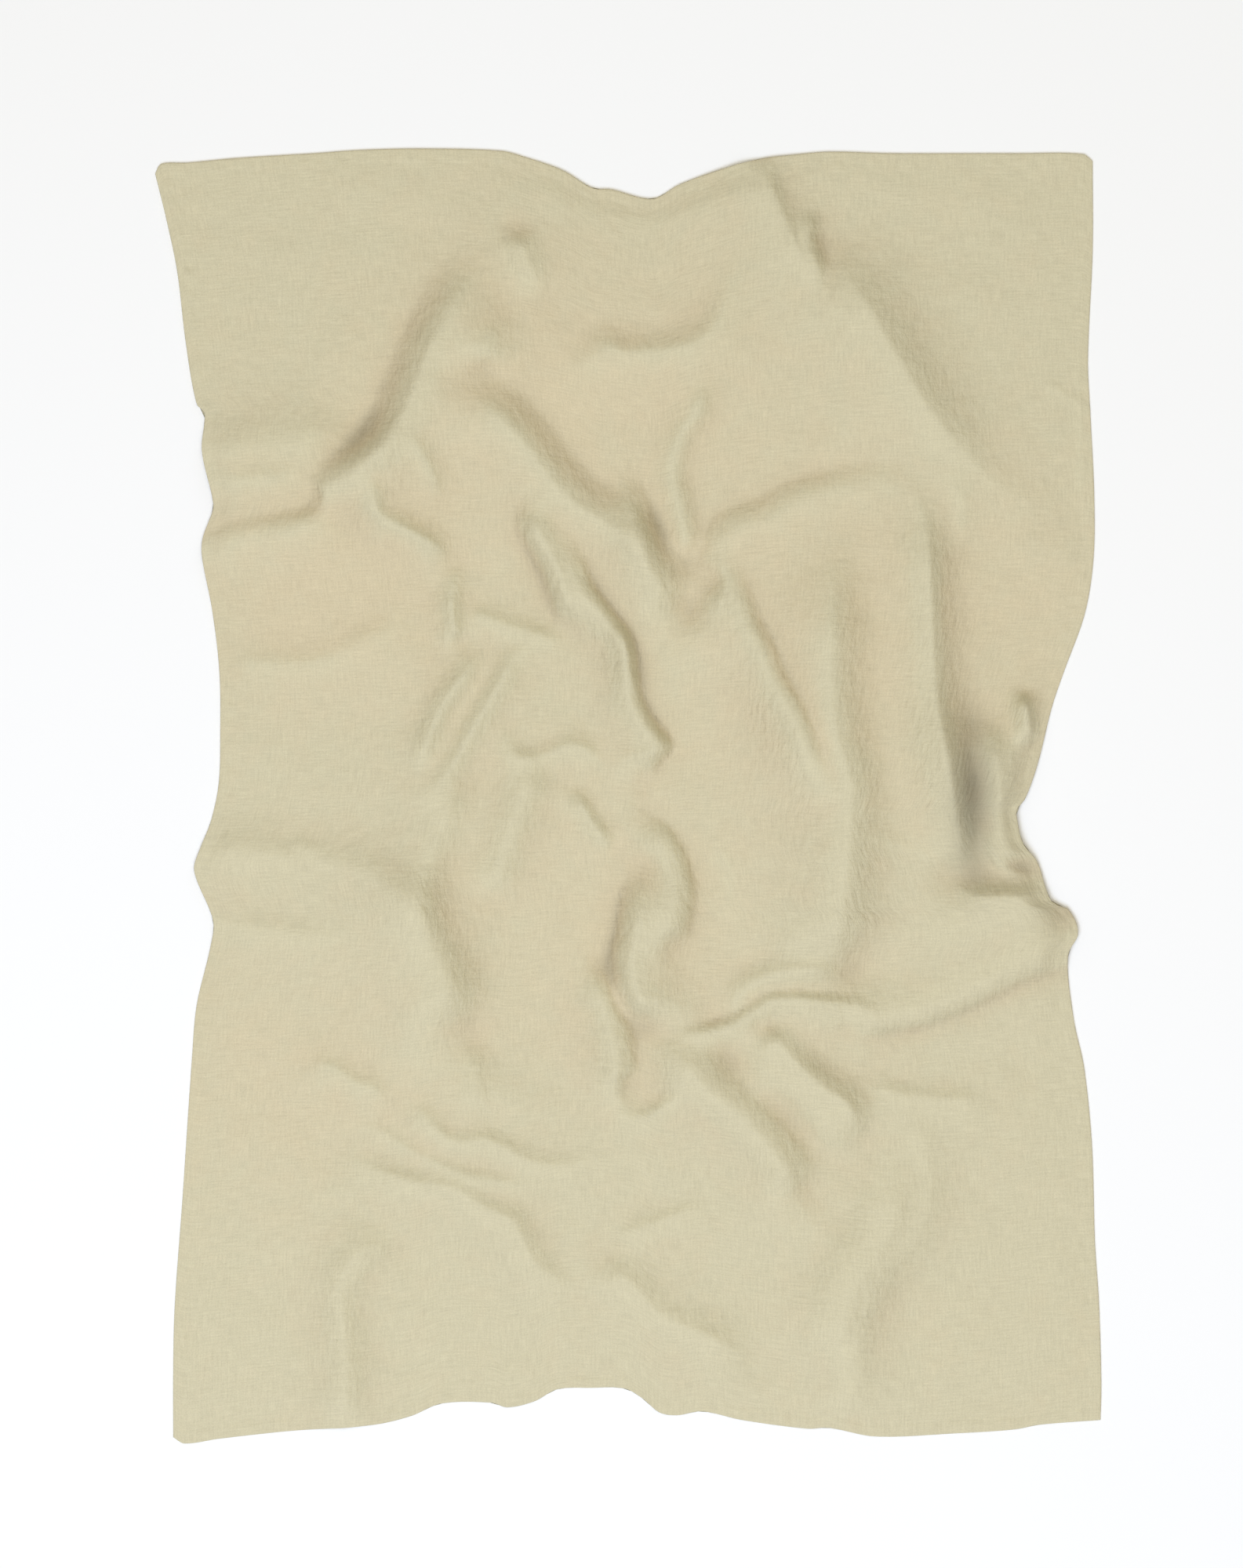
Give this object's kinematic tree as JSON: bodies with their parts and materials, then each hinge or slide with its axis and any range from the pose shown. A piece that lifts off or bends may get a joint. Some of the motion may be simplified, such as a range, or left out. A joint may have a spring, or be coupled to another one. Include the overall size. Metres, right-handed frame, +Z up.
{
  "type": "crumpled duvet cover",
  "caption": "Empty linen duvet cover lying flat in soft crumples, its front panel standing in folds over a back panel that rests on the surface.",
  "frame": {"origin": "on the surface, under the middle of the cover's outline", "axes": "+X across the cover, +Y along it towards its top edge, +Z up from the surface"},
  "size_m": [1.3868, 1.8968, 0.0853],
  "materials": {
    "front_linen": "stonewashed plain weave, matt, with fine slubs and a soft cloudy tone",
    "back_linen": "stonewashed plain weave, matt"
  },
  "bodies": {
    "root": {"front_panel": "front_linen", "back_panel": "back_linen"}
  },
  "joints": []
}
